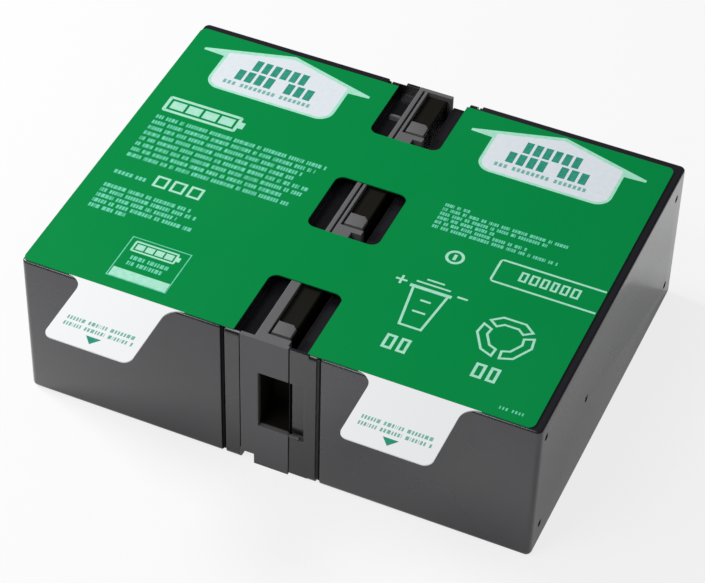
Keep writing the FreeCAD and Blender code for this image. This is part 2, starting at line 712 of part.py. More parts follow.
def make_label():
    """Stiff printed label over both blocks, with three windows and two pull tabs."""
    body = add_body("top_label")
    left = "(-label_width / 2 - label_shift)"
    right = "(label_width / 2 - label_shift)"
    front = from_front("label_front")
    back = "(" + HALF_LENGTH + " - label_back)"

    sheet_outline = add_sketch(body, "XY", "block_thickness")
    draw_rectangle(sheet_outline, left, right, front, back)
    base = pad(body, sheet_outline, "label_thickness")
    names = [name for name, middle in straight_edges(base.Shape, ALONG_Z)]
    fillet(body, base, names, "label_corner")

    tabs = add_sketch(body, "XY", "block_thickness")
    for centre in ("(-tab_spacing / 2 - label_shift)", "(tab_spacing / 2 - label_shift)"):
        draw_rectangle(tabs, centre + " - tab_neck / 2", centre + " + tab_neck / 2",
                       front + " - tab_reach", front + " + label_corner")
    with_tabs = pad(body, tabs, "label_thickness")
    front_y = SIZES["label_front"] - SIZES["block_length"] / 2
    tip_y = front_y - SIZES["tab_reach"]
    edges = straight_edges(with_tabs.Shape, ALONG_Z)
    ends = fillet(body, with_tabs, [name for name, middle in edges if close(middle.y, tip_y)],
                  "tab_end_corner")
    edges = straight_edges(ends.Shape, ALONG_Z)
    label_end = SIZES["label_width"] / 2 - SIZES["label_corner"] - SIZES["label_shift"]
    fillet(body, ends, [name for name, middle in edges
                        if close(middle.y, front_y) and abs(middle.x) < label_end],
           "tab_root_corner")

    windows = add_sketch(body, "XY", "block_thickness + label_thickness")
    low_x, high_x = "(-label_shift - window_width / 2)", "(-label_shift + window_width / 2)"
    draw_rectangle(windows, low_x, high_x, front + " - 1", from_front("front_notch"))
    draw_rectangle(windows, low_x, high_x, "-middle_window / 2", "middle_window / 2")
    draw_rectangle(windows, low_x, high_x, HALF_LENGTH + " - rear_notch", back + " + 1")
    cut = pocket(body, windows, "label_thickness")
    window_sides = (-SIZES["label_shift"] - SIZES["window_width"] / 2,
                    -SIZES["label_shift"] + SIZES["window_width"] / 2)
    back_y = SIZES["block_length"] / 2 - SIZES["label_back"]
    names = [name for name, middle in straight_edges(cut.Shape, ALONG_Z)
             if (close(middle.x, window_sides[0]) or close(middle.x, window_sides[1]))
             and not close(middle.y, front_y) and not close(middle.y, back_y)]
    fillet(body, cut, names, "window_corner")


# ---- the whole cartridge -------------------------------------------------------------

for block in ("left", "right"):
    make_container(block)
    cut_weld_windows(doc.getObject(block + "_container"))
    make_lid(block)
    make_vent_cover(block)
    make_valve_caps(block)
    make_plates(block, "positive", 0, "positive_count", "positive_thickness",
                "negative_thickness + " + MAT + " - " + CELL_WIDTH + " / 2")
    make_plates(block, "negative", 1, "positive_count + 1", "negative_thickness",
                "0 - " + CELL_WIDTH + " / 2")
    make_separators(block)
    make_straps(block)
    make_terminal(block, "front")
    make_terminal(block, "rear")
make_housing()
make_carrier()
make_series_link()
make_output_contact("left")
make_output_contact("right")
make_label()
doc.recompute()

for item in doc.Objects:
    if "Invalid" in item.State or "Error" in item.State:
        raise RuntimeError("%s did not rebuild: %s" % (item.Label, item.State))

os.makedirs("parts", exist_ok=True)
for item in doc.Objects:
    if item.TypeId == "PartDesign::Body":
        if item.Shape.isNull() or not item.Shape.isValid():
            raise RuntimeError("%s has no valid solid" % item.Label)
        item.Shape.exportStep("parts/%s.step" % item.Label)
        print("%-24s %3d solids %10.1f mm3" % (item.Label, len(item.Shape.Solids), item.Shape.Volume))
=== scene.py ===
import json
import math
import random

import bmesh
import bpy
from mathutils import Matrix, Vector

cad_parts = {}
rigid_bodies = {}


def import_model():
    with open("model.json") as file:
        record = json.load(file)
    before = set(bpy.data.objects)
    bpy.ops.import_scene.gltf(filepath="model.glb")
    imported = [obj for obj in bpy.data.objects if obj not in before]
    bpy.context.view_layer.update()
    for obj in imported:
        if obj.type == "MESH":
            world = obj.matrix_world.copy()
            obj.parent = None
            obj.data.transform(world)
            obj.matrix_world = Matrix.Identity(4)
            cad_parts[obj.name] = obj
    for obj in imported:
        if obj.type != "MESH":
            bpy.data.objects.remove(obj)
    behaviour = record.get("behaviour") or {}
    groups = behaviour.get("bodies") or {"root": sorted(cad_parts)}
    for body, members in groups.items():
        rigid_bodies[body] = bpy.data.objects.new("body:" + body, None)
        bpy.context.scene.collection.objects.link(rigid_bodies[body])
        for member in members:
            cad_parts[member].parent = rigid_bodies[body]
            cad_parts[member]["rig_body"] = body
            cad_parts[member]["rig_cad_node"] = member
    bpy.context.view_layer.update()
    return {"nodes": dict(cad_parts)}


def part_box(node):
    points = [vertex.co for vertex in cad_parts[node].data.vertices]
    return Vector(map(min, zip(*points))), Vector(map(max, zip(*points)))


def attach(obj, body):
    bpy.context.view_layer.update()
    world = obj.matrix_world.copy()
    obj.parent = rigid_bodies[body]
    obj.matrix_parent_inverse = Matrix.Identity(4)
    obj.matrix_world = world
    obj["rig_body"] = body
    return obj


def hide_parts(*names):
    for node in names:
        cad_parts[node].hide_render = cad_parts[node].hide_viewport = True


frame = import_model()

# A battery cartridge for an uninterruptible power supply: two sealed lead-acid blocks on
# their sides, a moulded contact strip between their lids, and one printed label over both.
MM = 0.001


# ---- Camera ------------------------------------------------------------------------------
# A long lens, above the front and a little to the right of the cartridge.

bpy.ops.object.camera_add(location=(0.28402, -0.67826, 0.73969), rotation=(0.798983, -0.020072, 0.419220))
camera = bpy.context.object
camera.data.sensor_width = 36
camera.data.lens = 138.53
camera.data.clip_start = 0.05
bpy.context.scene.camera = camera


# ---- Studio ------------------------------------------------------------------------------
# A pale paper table top under a white surround. One soft lamp stands at the left side and
# one high in front; the paper keeps the shadow and its glow shows in the glossy plastic.

bpy.context.scene.view_settings.view_transform = "Standard"


def add_node(tree, kind, inputs=None, **settings):
    """A node with its settings; each input is a plain value, or a socket to link from."""
    node = tree.nodes.new(kind)
    for name, value in settings.items():
        setattr(node, name, value)
    for name, value in (inputs or {}).items():
        if isinstance(value, bpy.types.NodeSocket):
            tree.links.new(value, node.inputs[name])
        else:
            node.inputs[name].default_value = value
    return node


def new_material(name):
    """A material, its node tree and its Principled shader."""
    material = bpy.data.materials.new(name)
    material.use_nodes = True
    return material, material.node_tree, material.node_tree.nodes["Principled BSDF"]


def object_noise(tree, mapping=None, **inputs):
    """A noise pattern fixed to the object, turned and stretched by a mapping's inputs if given."""
    vector = add_node(tree, "ShaderNodeTexCoord").outputs["Object"]
    if mapping:
        vector = add_node(tree, "ShaderNodeMapping", {"Vector": vector, **mapping}).outputs["Vector"]
    return add_node(tree, "ShaderNodeTexNoise", {"Vector": vector, **inputs}).outputs["Fac"]


def seen_share(tree, direct, mirrored):
    """The share of white glow: direct for the camera and through glass, mirrored in reflections."""
    path = add_node(tree, "ShaderNodeLightPath")
    most = 0.0
    for ray, share in (("Is Camera Ray", direct), ("Is Glossy Ray", mirrored),
                       ("Is Transmission Ray", direct)):
        seen = add_node(tree, "ShaderNodeMath", {0: path.outputs[ray], 1: share}, operation="MULTIPLY")
        most = add_node(tree, "ShaderNodeMath", {0: seen.outputs[0], 1: most}, operation="MAXIMUM").outputs[0]
    return most


bpy.ops.mesh.primitive_plane_add(size=8, location=(0, 0, -0.1 * MM))
table_top = bpy.context.object
table_top.name = "table_top"
paper, tree, shader = new_material("pale_paper")
shader.inputs["Roughness"].default_value = 0.85
fibre = object_noise(tree, Scale=140.0, Detail=4.0)
tone = add_node(tree, "ShaderNodeMapRange", {"Value": fibre, "To Min": 0.885, "To Max": 0.915})
tree.links.new(tone.outputs["Result"], shader.inputs["Base Color"])
glow = add_node(tree, "ShaderNodeEmission", {"Color": (1, 1, 1, 1), "Strength": 1.0})
both = add_node(tree, "ShaderNodeMixShader", {0: seen_share(tree, 0.80, 0.18), 1: shader.outputs["BSDF"],
                                              2: glow.outputs["Emission"]})
tree.links.new(both.outputs["Shader"], tree.nodes["Material Output"].inputs["Surface"])
table_top.data.materials.append(paper)

# The surround is white to the camera and soft on the object. Reflections see it dimmed, so
# that the glossy black plastic stays black.
world = bpy.data.worlds.new("white_surround")
world.use_nodes = True
bpy.context.scene.world = world
tree = world.node_tree
lit = tree.nodes["Background"]
lit.inputs["Color"].default_value = (0.97, 0.985, 1.0, 1)
lit.inputs["Strength"].default_value = 0.22
dim = add_node(tree, "ShaderNodeBackground", {"Color": (0.90, 0.93, 1.0, 1), "Strength": 0.05})
white = add_node(tree, "ShaderNodeBackground", {"Color": (1, 1, 1, 1), "Strength": 1.0})
path = add_node(tree, "ShaderNodeLightPath")
room = add_node(tree, "ShaderNodeMixShader", {0: path.outputs["Is Glossy Ray"], 1: lit.outputs["Background"],
                                              2: dim.outputs["Background"]})
both = add_node(tree, "ShaderNodeMixShader", {0: seen_share(tree, 1.0, 0.0), 1: room.outputs["Shader"],
                                              2: white.outputs["Background"]})
tree.links.new(both.outputs["Shader"], tree.nodes["World Output"].inputs["Surface"])

for name, place, aim, size, power in (
        ("side_softbox", (-0.95, 0.12, 0.80), (0, 0, 0.03), 0.32, 10.6),
        ("front_softbox", (-0.42, -0.68, 1.16), (0, 0, 0.03), 0.60, 5.6)):
    bpy.ops.object.light_add(type="AREA", location=place)
    lamp = bpy.context.object
    lamp.name = name
    lamp.data.size = size
    lamp.data.energy = power
    lamp.rotation_euler = (Vector(aim) - Vector(place)).to_track_quat("-Z", "Y").to_euler()


# ---- Containers --------------------------------------------------------------------------
# Two battery cases, injection moulded in near-black ABS with six cells in a row. The closed
# end carries five small ejector marks; the rim at the open end is painted near-black: painted shade in the
# seam to the lid.

NEAR = 0.1 * MM  # how close a vertex, edge or face lies to a place to count as lying on it


def open_piece(name, add_primitive, stretch=(1, 1, 1), **settings):
    """A new primitive, stretched and with its place applied, all selected, in edit mode."""
    if bpy.context.mode != "OBJECT":
        bpy.ops.object.mode_set(mode="OBJECT")
    bpy.ops.object.select_all(action="DESELECT")
    add_primitive(**settings)
    piece = bpy.context.object
    piece.scale = stretch
    piece.name = name
    piece.data.name = name
    bpy.ops.object.transform_apply(location=True, rotation=True, scale=True)
    bpy.ops.object.mode_set(mode="EDIT")
    return piece


def open_block(name, low, high):
    """A block between two corners, in edit mode."""
    low, high = Vector(low), Vector(high)
    return open_piece(name, bpy.ops.mesh.primitive_cube_add, high - low, size=1, location=(low + high) / 2)


def pick(piece, kind, wanted):
    """In edit mode, selects the vertices, edges or faces that wanted says yes to."""
    bpy.ops.mesh.select_mode(type=kind)
    bpy.ops.mesh.select_all(action="DESELECT")
    mesh = bmesh.from_edit_mesh(piece.data)
    mesh.normal_update()
    for element in {"VERT": mesh.verts, "EDGE": mesh.edges, "FACE": mesh.faces}[kind]:
        if wanted(element):
            element.select_set(True)
    mesh.select_flush_mode()
    bmesh.update_edit_mesh(piece.data)


def middle_of(edge):
    """The point halfway along an edge."""
    return (edge.verts[0].co + edge.verts[1].co) / 2


def runs_along(edge, axis):
    """Whether an edge lies along the axis with that number."""
    return abs((edge.verts[1].co - edge.verts[0].co).normalized()[axis]) > 0.99


def bevel_edges(piece, width, segments, wanted):
    """In edit mode, rounds the edges that wanted says yes to."""
    pick(piece, "EDGE", wanted)
    bpy.ops.mesh.bevel(offset=width, segments=segments, affect="EDGES")


def bevel_outline(piece, width, segments, wanted):
    """In edit mode, rounds the outline of the faces that wanted says yes to."""
    pick(piece, "FACE", wanted)
    bpy.ops.mesh.region_to_loop()
    bpy.ops.mesh.bevel(offset=width, segments=segments, affect="EDGES")


def shade_smooth():
    """Out of edit mode, shades the active piece smooth across all but its sharp edges."""
    bpy.ops.object.mode_set(mode="OBJECT")
    bpy.ops.object.shade_smooth_by_angle(angle=math.radians(30))


def cut_out(piece, cutter):
    """Takes the cutter's shape out of the piece, and the cutter away."""
    bpy.ops.object.mode_set(mode="OBJECT")
    bpy.ops.object.select_all(action="DESELECT")
    piece.select_set(True)
    bpy.context.view_layer.objects.active = piece
    cut = piece.modifiers.new("cut", "BOOLEAN")
    cut.operation = "DIFFERENCE"
    cut.solver = "EXACT"
    cut.object = cutter
    bpy.ops.object.modifier_apply(modifier=cut.name)
    bpy.data.objects.remove(cutter)


def finish_piece(piece, slot, materials, *nodes):
    """The piece rides on the cartridge, with its materials and the CAD nodes it stands for."""
    if bpy.context.mode != "OBJECT":
        bpy.ops.object.mode_set(mode="OBJECT")
    for material in materials:
        piece.data.materials.append(material)
    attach(piece, "root")
    if nodes:
        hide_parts(*nodes)


def new_group(name, inputs, outputs):
    """An empty shader node group with its sockets, and its two end nodes."""
    group = bpy.data.node_groups.new(name, "ShaderNodeTree")
    for socket, value in inputs.items():
        made = group.interface.new_socket(name=socket, in_out="INPUT", socket_type="NodeSocketFloat")
        made.default_value = value
    for socket, kind in outputs.items():
        group.interface.new_socket(name=socket, in_out="OUTPUT", socket_type=kind)
    return group, group.nodes.new("NodeGroupInput"), group.nodes.new("NodeGroupOutput")


# Rubbed edges: where the surface turns sharply, broken up by a patchy pattern. The same
# node rounds off the shading of edges that are left sharp in the mesh.
edge_wear, wear_in, wear_out = new_group(
    "edge_wear", {"Radius": 0.6 * MM, "Amount": 0.5},
    {"Worn": "NodeSocketFloat", "Normal": "NodeSocketVector"})
rounded = add_node(edge_wear, "ShaderNodeBevel", {"Radius": wear_in.outputs["Radius"]}, samples=6)
surface = add_node(edge_wear, "ShaderNodeNewGeometry")
turn = add_node(edge_wear, "ShaderNodeVectorMath", {0: rounded.outputs["Normal"],
                                                    1: surface.outputs["Normal"]}, operation="DOT_PRODUCT")
sharp = add_node(edge_wear, "ShaderNodeMapRange", {"Value": turn.outputs["Value"], "From Min": 0.99,
                                                   "From Max": 0.78})
patches = object_noise(edge_wear, Scale=260.0, Detail=3.0, Roughness=0.65)
broken = add_node(edge_wear, "ShaderNodeMapRange", {"Value": patches, "From Min": 0.35, "From Max": 0.65,
                                                    "To Min": 0.25})
worn = add_node(edge_wear, "ShaderNodeMath", {0: sharp.outputs["Result"], 1: broken.outputs["Result"]},
                operation="MULTIPLY")
worn = add_node(edge_wear, "ShaderNodeMath", {0: worn.outputs[0], 1: wear_in.outputs["Amount"]},
                operation="MULTIPLY", use_clamp=True)
edge_wear.links.new(worn.outputs[0], wear_out.inputs["Worn"])
edge_wear.links.new(rounded.outputs["Normal"], wear_out.inputs["Normal"])

# Moulded grain: the fine texture of the mould, slow drifts of tone, and faint handling rubs.
moulded_grain, grain_in, grain_out = new_group(
    "moulded_grain", {"Grain Scale": 1500.0, "Drift Scale": 14.0},
    {"Grain": "NodeSocketFloat", "Drift": "NodeSocketFloat", "Rub": "NodeSocketFloat"})
fine = object_noise(moulded_grain, Scale=grain_in.outputs["Grain Scale"], Detail=2.0)
drift = object_noise(moulded_grain, Scale=grain_in.outputs["Drift Scale"], Detail=4.0)
streaks = object_noise(moulded_grain, {"Rotation": (0.4, 0.7, 0.5), "Scale": (60, 420, 260)},
                       Scale=1.0, Detail=3.0, Distortion=0.8)
rub = add_node(moulded_grain, "ShaderNodeMapRange", {"Value": streaks, "From Min": 0.60, "From Max": 0.80})
moulded_grain.links.new(fine, grain_out.inputs["Grain"])
moulded_grain.links.new(drift, grain_out.inputs["Drift"])
moulded_grain.links.new(rub.outputs["Result"], grain_out.inputs["Rub"])


def use_group(tree, group, **values):
    """A group placed in a material, with its own values."""
    node = add_node(tree, "ShaderNodeGroup", node_tree=group)
    for name, value in values.items():
        node.inputs[name.replace("_", " ")].default_value = value
    return node


def mix_colours(tree, share, first, second):
    """A colour mix: share 0 gives the first colour and 1 the second."""
    mix = tree.nodes.new("ShaderNodeMix")
    mix.data_type = "RGBA"
    for socket, value in ((mix.inputs[0], share), (mix.inputs[6], first), (mix.inputs[7], second)):
        if isinstance(value, bpy.types.NodeSocket):
            tree.links.new(value, socket)
        else:
            socket.default_value = (*value, 1)
    return mix.outputs[2]


def moulded_plastic(name, dark, light, worn, rough, skin, radius, grain_depth, grain_scale):
    """Grained plastic: drifts from dark to light, pale rubbed edges, and a glossy skin."""
    material, tree, shader = new_material(name)
    shader.inputs["Specular IOR Level"].default_value = 0.15 + 0.45 * skin
    shader.inputs["Coat Weight"].default_value = skin
    shader.inputs["Coat Roughness"].default_value = 0.20
    wear = use_group(tree, edge_wear, Radius=radius, Amount=0.6)
    grain = use_group(tree, moulded_grain, Grain_Scale=grain_scale, Drift_Scale=14.0)
    speck = add_node(tree, "ShaderNodeMath", {0: grain.outputs["Grain"], 1: 0.45}, operation="MULTIPLY")
    share = add_node(tree, "ShaderNodeMath", {0: grain.outputs["Drift"], 1: 0.7, 2: speck.outputs[0]},
                     operation="MULTIPLY_ADD", use_clamp=True)
    body = mix_colours(tree, share.outputs[0], dark, light)
    tree.links.new(mix_colours(tree, wear.outputs["Worn"], body, worn), shader.inputs["Base Color"])
    polish = add_node(tree, "ShaderNodeMapRange", {"Value": grain.outputs["Drift"], "From Min": 0.3,
                                                   "From Max": 0.7, "To Min": rough[0], "To Max": rough[1]})
    rubbed = add_node(tree, "ShaderNodeMath", {0: grain.outputs["Rub"], 1: 0.06, 2: polish.outputs["Result"]},
                      operation="MULTIPLY_ADD", use_clamp=True)
    tree.links.new(rubbed.outputs[0], shader.inputs["Roughness"])
    bump = add_node(tree, "ShaderNodeBump", {"Height": grain.outputs["Grain"], "Strength": 0.35,
                                             "Normal": wear.outputs["Normal"], "Distance": grain_depth})
    tree.links.new(bump.outputs["Normal"], shader.inputs["Normal"])
    return material


# Painted shade: a near-black for the case's rim faces, where the seam to the lid lies in shade.
seam_shade_black = moulded_plastic("seam_shade_black", dark=(0.003, 0.003, 0.003), light=(0.006, 0.006, 0.006),
                                worn=(0.010, 0.010, 0.010), rough=(0.60, 0.75), skin=0.0,
                                radius=0.1 * MM, grain_depth=0.05 * MM, grain_scale=1200.0)
case_abs = moulded_plastic("black_case_abs", dark=(0.011, 0.0105, 0.015), light=(0.021, 0.020, 0.027),
                           worn=(0.06, 0.06, 0.065), rough=(0.20, 0.30), skin=0.9,
                           radius=0.5 * MM, grain_depth=0.02 * MM, grain_scale=1500.0)


def mould_case(side):
    """One case, its closed end towards low x; the right one is then turned half round."""
    box_low, box_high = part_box(side + "_container")
    depth, rim = box_high.x - box_low.x, 0.9 * MM
    moulded_edge, label_edge = 2.3 * MM, 1.0 * MM
    rim_edge, seam_step = 0.4 * MM, 0.35 * MM
    low, high = Vector((-depth, box_low.y, box_low.z)), Vector((0, box_high.y, box_high.z))
    label_z = high.z if side == "left" else low.z
    case = open_block(side + "_case", low, (-rim, high.y, high.z))
    bevel_edges(case, moulded_edge, 6, lambda edge: abs(middle_of(edge).z - label_z) > NEAR
                and middle_of(edge).x < -rim - NEAR)
    bevel_edges(case, label_edge, 5, lambda edge: abs(middle_of(edge).z - label_z) < NEAR
                and middle_of(edge).x < -rim - NEAR)
    bevel_outline(case, rim_edge, 3, lambda face: face.normal.x > 0.9)
    pick(case, "FACE", lambda face: face.normal.x > 0.99)
    bpy.ops.mesh.inset(thickness=seam_step, depth=0)
    bpy.ops.mesh.extrude_region_move(TRANSFORM_OT_translate={"value": (rim, 0, 0)})

    wall, partition, cells = 2.5 * MM, 1.5 * MM, 6
    width = (high.y - low.y - 2 * wall - (cells - 1) * partition) / cells
    for cell in range(cells):
        start = low.y + wall + cell * (width + partition)
        cut_out(case, open_block("cell", (low.x + wall, start, low.z + wall),
                                 (high.x + wall, start + width, high.z - wall)))
    for y, z in ((6, 58), (8, 11), (50, 35), (142, 56), (142, 11)):
        z = z * MM if side == "left" else high.z - z * MM
        cut_out(case, open_piece("ejector_mark", bpy.ops.mesh.primitive_cone_add, vertices=24,
                                 radius1=1.9 * MM, radius2=1.2 * MM, depth=1.6 * MM,
                                 rotation=(0, math.pi / 2, 0), location=(low.x, low.y + y * MM, z)))
    shade_smooth()
    case.data.materials.append(case_abs)
    case.data.materials.append(seam_shade_black)
    bpy.ops.object.mode_set(mode="EDIT")
    # The rim's faces take the near-black: painted shade in a seam too shallow to shade itself.
    pick(case, "FACE", lambda face: face.calc_center_median().x > -rim and face.normal.x < 0.9
         or face.normal.x > 0.9)
    case.active_material_index = 1
    bpy.ops.object.material_slot_assign()
    bpy.ops.object.mode_set(mode="OBJECT")
    if side == "left":
        case.location = (box_high.x, 0, 0)
    else:
        case.location = (box_low.x, 0, box_high.z)
        case.rotation_euler = (0, math.pi, 0)
    bpy.ops.object.transform_apply(location=True, rotation=True, scale=True)
    finish_piece(case, "case", [], side + "_container")


mould_case("left")
mould_case("right")


# ---- Cell stacks -------------------------------------------------------------------------
# Pasted lead grids with glass mats between them stand in each cell, and cast lead straps
# join the plates of one kind. They are closed in, and seen only in a cut-away.

def dress(node, material):
    """Gives a CAD node its finished material."""
    for slot in frame["nodes"][node].material_slots:
        slot.material = material


def crumbly(name, dark, light, rough, scale, metallic=0.0):
    """A dry, cast or fibrous surface, coloured and raised by one rough pattern."""
    material, tree, shader = new_material(name)
    shader.inputs["Metallic"].default_value = metallic
    crumbs = object_noise(tree, Scale=scale, Detail=6.0, Roughness=0.7)
    share = add_node(tree, "ShaderNodeMapRange", {"Value": crumbs, "From Min": 0.3, "From Max": 0.72})
    tree.links.new(mix_colours(tree, share.outputs["Result"], dark, light), shader.inputs["Base Color"])
    spread = add_node(tree, "ShaderNodeMapRange", {"Value": crumbs, "To Min": rough[0], "To Max": rough[1]})
    tree.links.new(spread.outputs["Result"], shader.inputs["Roughness"])
    bump = add_node(tree, "ShaderNodeBump", {"Height": crumbs, "Strength": 0.6, "Distance": 0.15 * MM})
    tree.links.new(bump.outputs["Normal"], shader.inputs["Normal"])
    return material


brown_paste = crumbly("brown_paste", (0.070, 0.032, 0.018), (0.16, 0.080, 0.048), (0.8, 0.95), 700.0)
grey_paste = crumbly("grey_paste", (0.17, 0.18, 0.20), (0.31, 0.32, 0.34), (0.7, 0.9), 700.0)
white_mat = crumbly("white_mat", (0.74, 0.74, 0.71), (0.88, 0.88, 0.86), (0.85, 0.98), 1400.0)
cast_lead = crumbly("cast_lead", (0.23, 0.24, 0.26), (0.40, 0.41, 0.43), (0.42, 0.62), 300.0, 0.85)
for side in ("left", "right"):
    dress(side + "_positive_plates", brown_paste)
    dress(side + "_negative_plates", grey_paste)
    dress(side + "_separators", white_mat)
    dress(side + "_cell_straps", cast_lead)


# ---- Lids --------------------------------------------------------------------------------
# Moulded covers in black ABS, welded over the cells, coloured a little darker than the cases:
# painted shade for the lid flanks down in the label windows. A welded strip covers each row of vents, and
# soft rubber caps under it close the six cells.

lid_abs = moulded_plastic("black_lid_abs", dark=(0.009, 0.0088, 0.012), light=(0.017, 0.0165, 0.021),
                          worn=(0.12, 0.12, 0.13), rough=(0.22, 0.32), skin=0.8,
                          radius=0.5 * MM, grain_depth=0.02 * MM, grain_scale=1500.0)
cap_rubber = moulded_plastic("cap_rubber", dark=(0.018, 0.018, 0.018), light=(0.040, 0.040, 0.041),
                             worn=(0.07, 0.07, 0.07), rough=(0.62, 0.80), skin=0.0,
                             radius=0.2 * MM, grain_depth=0.05 * MM, grain_scale=2600.0)
for side in ("left", "right"):
    dress(side + "_lid", lid_abs)
    dress(side + "_vent_cover", lid_abs)
    dress(side + "_valve_caps", cap_rubber)


# ---- Terminals and contacts --------------------------------------------------------------
# Tin-plated flat tabs on lead feet stand up through the lids. Folded brass sleeves grip
# them: one link joins the two blocks in front, and two blades stand in the rear port.

def sheet_metal(name, dull, bright, rough):
    """Rolled sheet: fine drawn lines, a thin uneven tarnish and bright rubbed edges."""
    material, tree, shader = new_material(name)
    shader.inputs["Metallic"].default_value = 1.0
    lines = object_noise(tree, {"Scale": (200, 200, 6000)}, Scale=1.0, Detail=3.0)
    tarnish = object_noise(tree, Scale=180.0, Detail=5.0)
    wear = use_group(tree, edge_wear, Radius=0.12 * MM, Amount=0.5)
    tint = mix_colours(tree, tarnish, dull, bright)
    rubbed_tint = mix_colours(tree, wear.outputs["Worn"], tint, (0.86, 0.85, 0.82))
    tree.links.new(rubbed_tint, shader.inputs["Base Color"])
    polish = add_node(tree, "ShaderNodeMapRange", {"Value": tarnish, "To Min": rough[0], "To Max": rough[1]})
    tree.links.new(polish.outputs["Result"], shader.inputs["Roughness"])
    bump = add_node(tree, "ShaderNodeBump", {"Height": lines, "Normal": wear.outputs["Normal"],
                                             "Strength": 0.25, "Distance": 0.02 * MM})
    tree.links.new(bump.outputs["Normal"], shader.inputs["Normal"])
    return material


tin_plate = sheet_metal("tin_plate", (0.60, 0.59, 0.56), (0.80, 0.79, 0.76), (0.22, 0.38))
spring_brass = sheet_metal("spring_brass", (0.60, 0.44, 0.20), (0.83, 0.66, 0.36), (0.20, 0.36))
for side in ("left", "right"):
    dress(side + "_front_terminal", tin_plate)
    dress(side + "_rear_terminal", tin_plate)
    dress(side + "_output_contact", spring_brass)
dress("series_link", spring_brass)


# ---- Contact strip -----------------------------------------------------------------------
# A channel between the lids in a plain matt grey plastic, and a black insert that carries
# the contacts. Three thin grey latch heads on the insert hold it in the channel; the black insert under each
# head is painted shade on the heads' front faces.

strip_plastic = moulded_plastic("matt_grey_plastic", dark=(0.120, 0.119, 0.123),
                                light=(0.170, 0.169, 0.174), worn=(0.32, 0.32, 0.32),
                                rough=(0.52, 0.66), skin=0.0,
                                radius=0.45 * MM, grain_depth=0.04 * MM, grain_scale=1700.0)
insert_plastic = moulded_plastic("black_insert_plastic", dark=(0.006, 0.0055, 0.004),
                                 light=(0.012, 0.011, 0.008), worn=(0.05, 0.05, 0.05),
                                 rough=(0.50, 0.65), skin=0.0,
                                 radius=0.4 * MM, grain_depth=0.04 * MM, grain_scale=1700.0)
dress("connector_housing", strip_plastic)
dress("contact_carrier", insert_plastic)

carrier_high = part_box("contact_carrier")[1]
strip_low, strip_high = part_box("connector_housing")
front_y = strip_low.y
# Only the top of each latch head is grey; the black below it is painted shade on the head's front face.
for name, start in (("front", 5.6), ("middle", 67.9), ("rear", 124.9)):
    head_low = Vector((carrier_high.x - 7.5 * MM, front_y + start * MM, carrier_high.z - 1.1 * MM))
    head_high = Vector((carrier_high.x + 0.1 * MM, front_y + (start + 6.7) * MM, carrier_high.z + 0.15 * MM))
    head = open_block(name + "_latch_head", head_low, head_high)
    bevel_edges(head, 1.6 * MM, 1, lambda edge: runs_along(edge, 2) and middle_of(edge).x > head_high.x - NEAR
                and middle_of(edge).y > head_high.y - NEAR)
    bevel_outline(head, 0.5 * MM, 3, lambda face: face.normal.z > 0.9)
    shade_smooth()
    finish_piece(head, "strip_plastic", [strip_plastic])


def in_strip(x, y, z):
    """A point at x, with y and z in mm from the strip's front and bottom."""
    return x, front_y + y * MM, strip_low.z + z * MM


# Covers with a slightly raised middle close the bays between the latches.
for name, start, end in (("front", 12.2, 60.4), ("middle", 74.6, 117.4), ("rear", 131.8, 149.1)):
    cover = open_block(name + "_bay_cover", in_strip(carrier_high.x - 7.9 * MM, start, 50.0),
                       in_strip(carrier_high.x + 0.05 * MM, end, 63.2))
    pick(cover, "FACE", lambda face: face.normal.z > 0.9)
    bpy.ops.mesh.inset(thickness=0.5 * MM, depth=0)
    bpy.ops.transform.translate(value=(0, 0, 0.4 * MM))
    finish_piece(cover, "strip_plastic", [insert_plastic])

# A blind sleeve lines the opening in the strip's front end and covers the link behind it. Its near-black is
# painted shade, standing for the shade inside the opening.
sleeve = open_block("front_port_sleeve", in_strip(strip_high.x - 11.88 * MM, 1.8, 20.85),
                    in_strip(strip_high.x - 0.05 * MM, 14.0, 48.25))
pick(sleeve, "FACE", lambda face: face.normal.y < -0.9)
bpy.ops.mesh.inset(thickness=0.3 * MM, depth=0)
bpy.ops.mesh.extrude_region_move(TRANSFORM_OT_translate={"value": (0, 11.8 * MM, 0)})
finish_piece(sleeve, "strip_plastic", [insert_plastic])

# A small sill under that opening bridges the seam to the right lid. Its lighter grey is a painted highlight,
# standing for the light caught on the ledge below the opening.
sill = open_block("port_sill", in_strip(strip_high.x + 0.3 * MM, 0.05, 20.1),
                  in_strip(strip_high.x + 4.2 * MM, 1.2, 20.95))
bevel_edges(sill, 0.2 * MM, 2, lambda edge: runs_along(edge, 0))
shade_smooth()
finish_piece(sill, "strip_plastic", [strip_plastic])

# Two near-black blocks close the slot between the insert and the right lid: one along the
# bottom, and an upright one under the label. Their black is painted shade, standing for the shade in the slot
# and on the floor under it.
slot_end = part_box("right_lid")[0].x
for name, start, end, bottom, top in (("slot_shade_strip", 12, 139, 2.4, 5.4), ("slot_shade_plug", 38, 52, 4.6, 62.0)):
    slot_shade_block = open_block(name, in_strip(carrier_high.x - 0.3 * MM, start, bottom),
                      in_strip(slot_end - 0.02 * MM, end, top))
    bevel_edges(slot_shade_block, 0.6 * MM, 3, lambda edge: runs_along(edge, 1) or runs_along(edge, 0))
    shade_smooth()
    finish_piece(slot_shade_block, "strip_plastic", [insert_plastic])

# A rib stands up from the left lid in the rear window.
lid_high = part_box("left_lid")[1]
rib_top = lid_high.z - 2.4 * MM
rib = open_block("lid_rib", (lid_high.x - 7.2 * MM, front_y + 133.3 * MM, rib_top - 2.8 * MM),
                 (lid_high.x - 2.6 * MM, front_y + 134.6 * MM, rib_top))
bevel_edges(rib, 0.4 * MM, 3, lambda edge: middle_of(edge).z > rib_top - NEAR)
shade_smooth()
finish_piece(rib, "strip_plastic", [strip_plastic])


# ---- Label -------------------------------------------------------------------------------
# One stiff white card with a green film, die cut with three windows and glued over both
# blocks. Its two pull tabs stay white and reach out past the front.

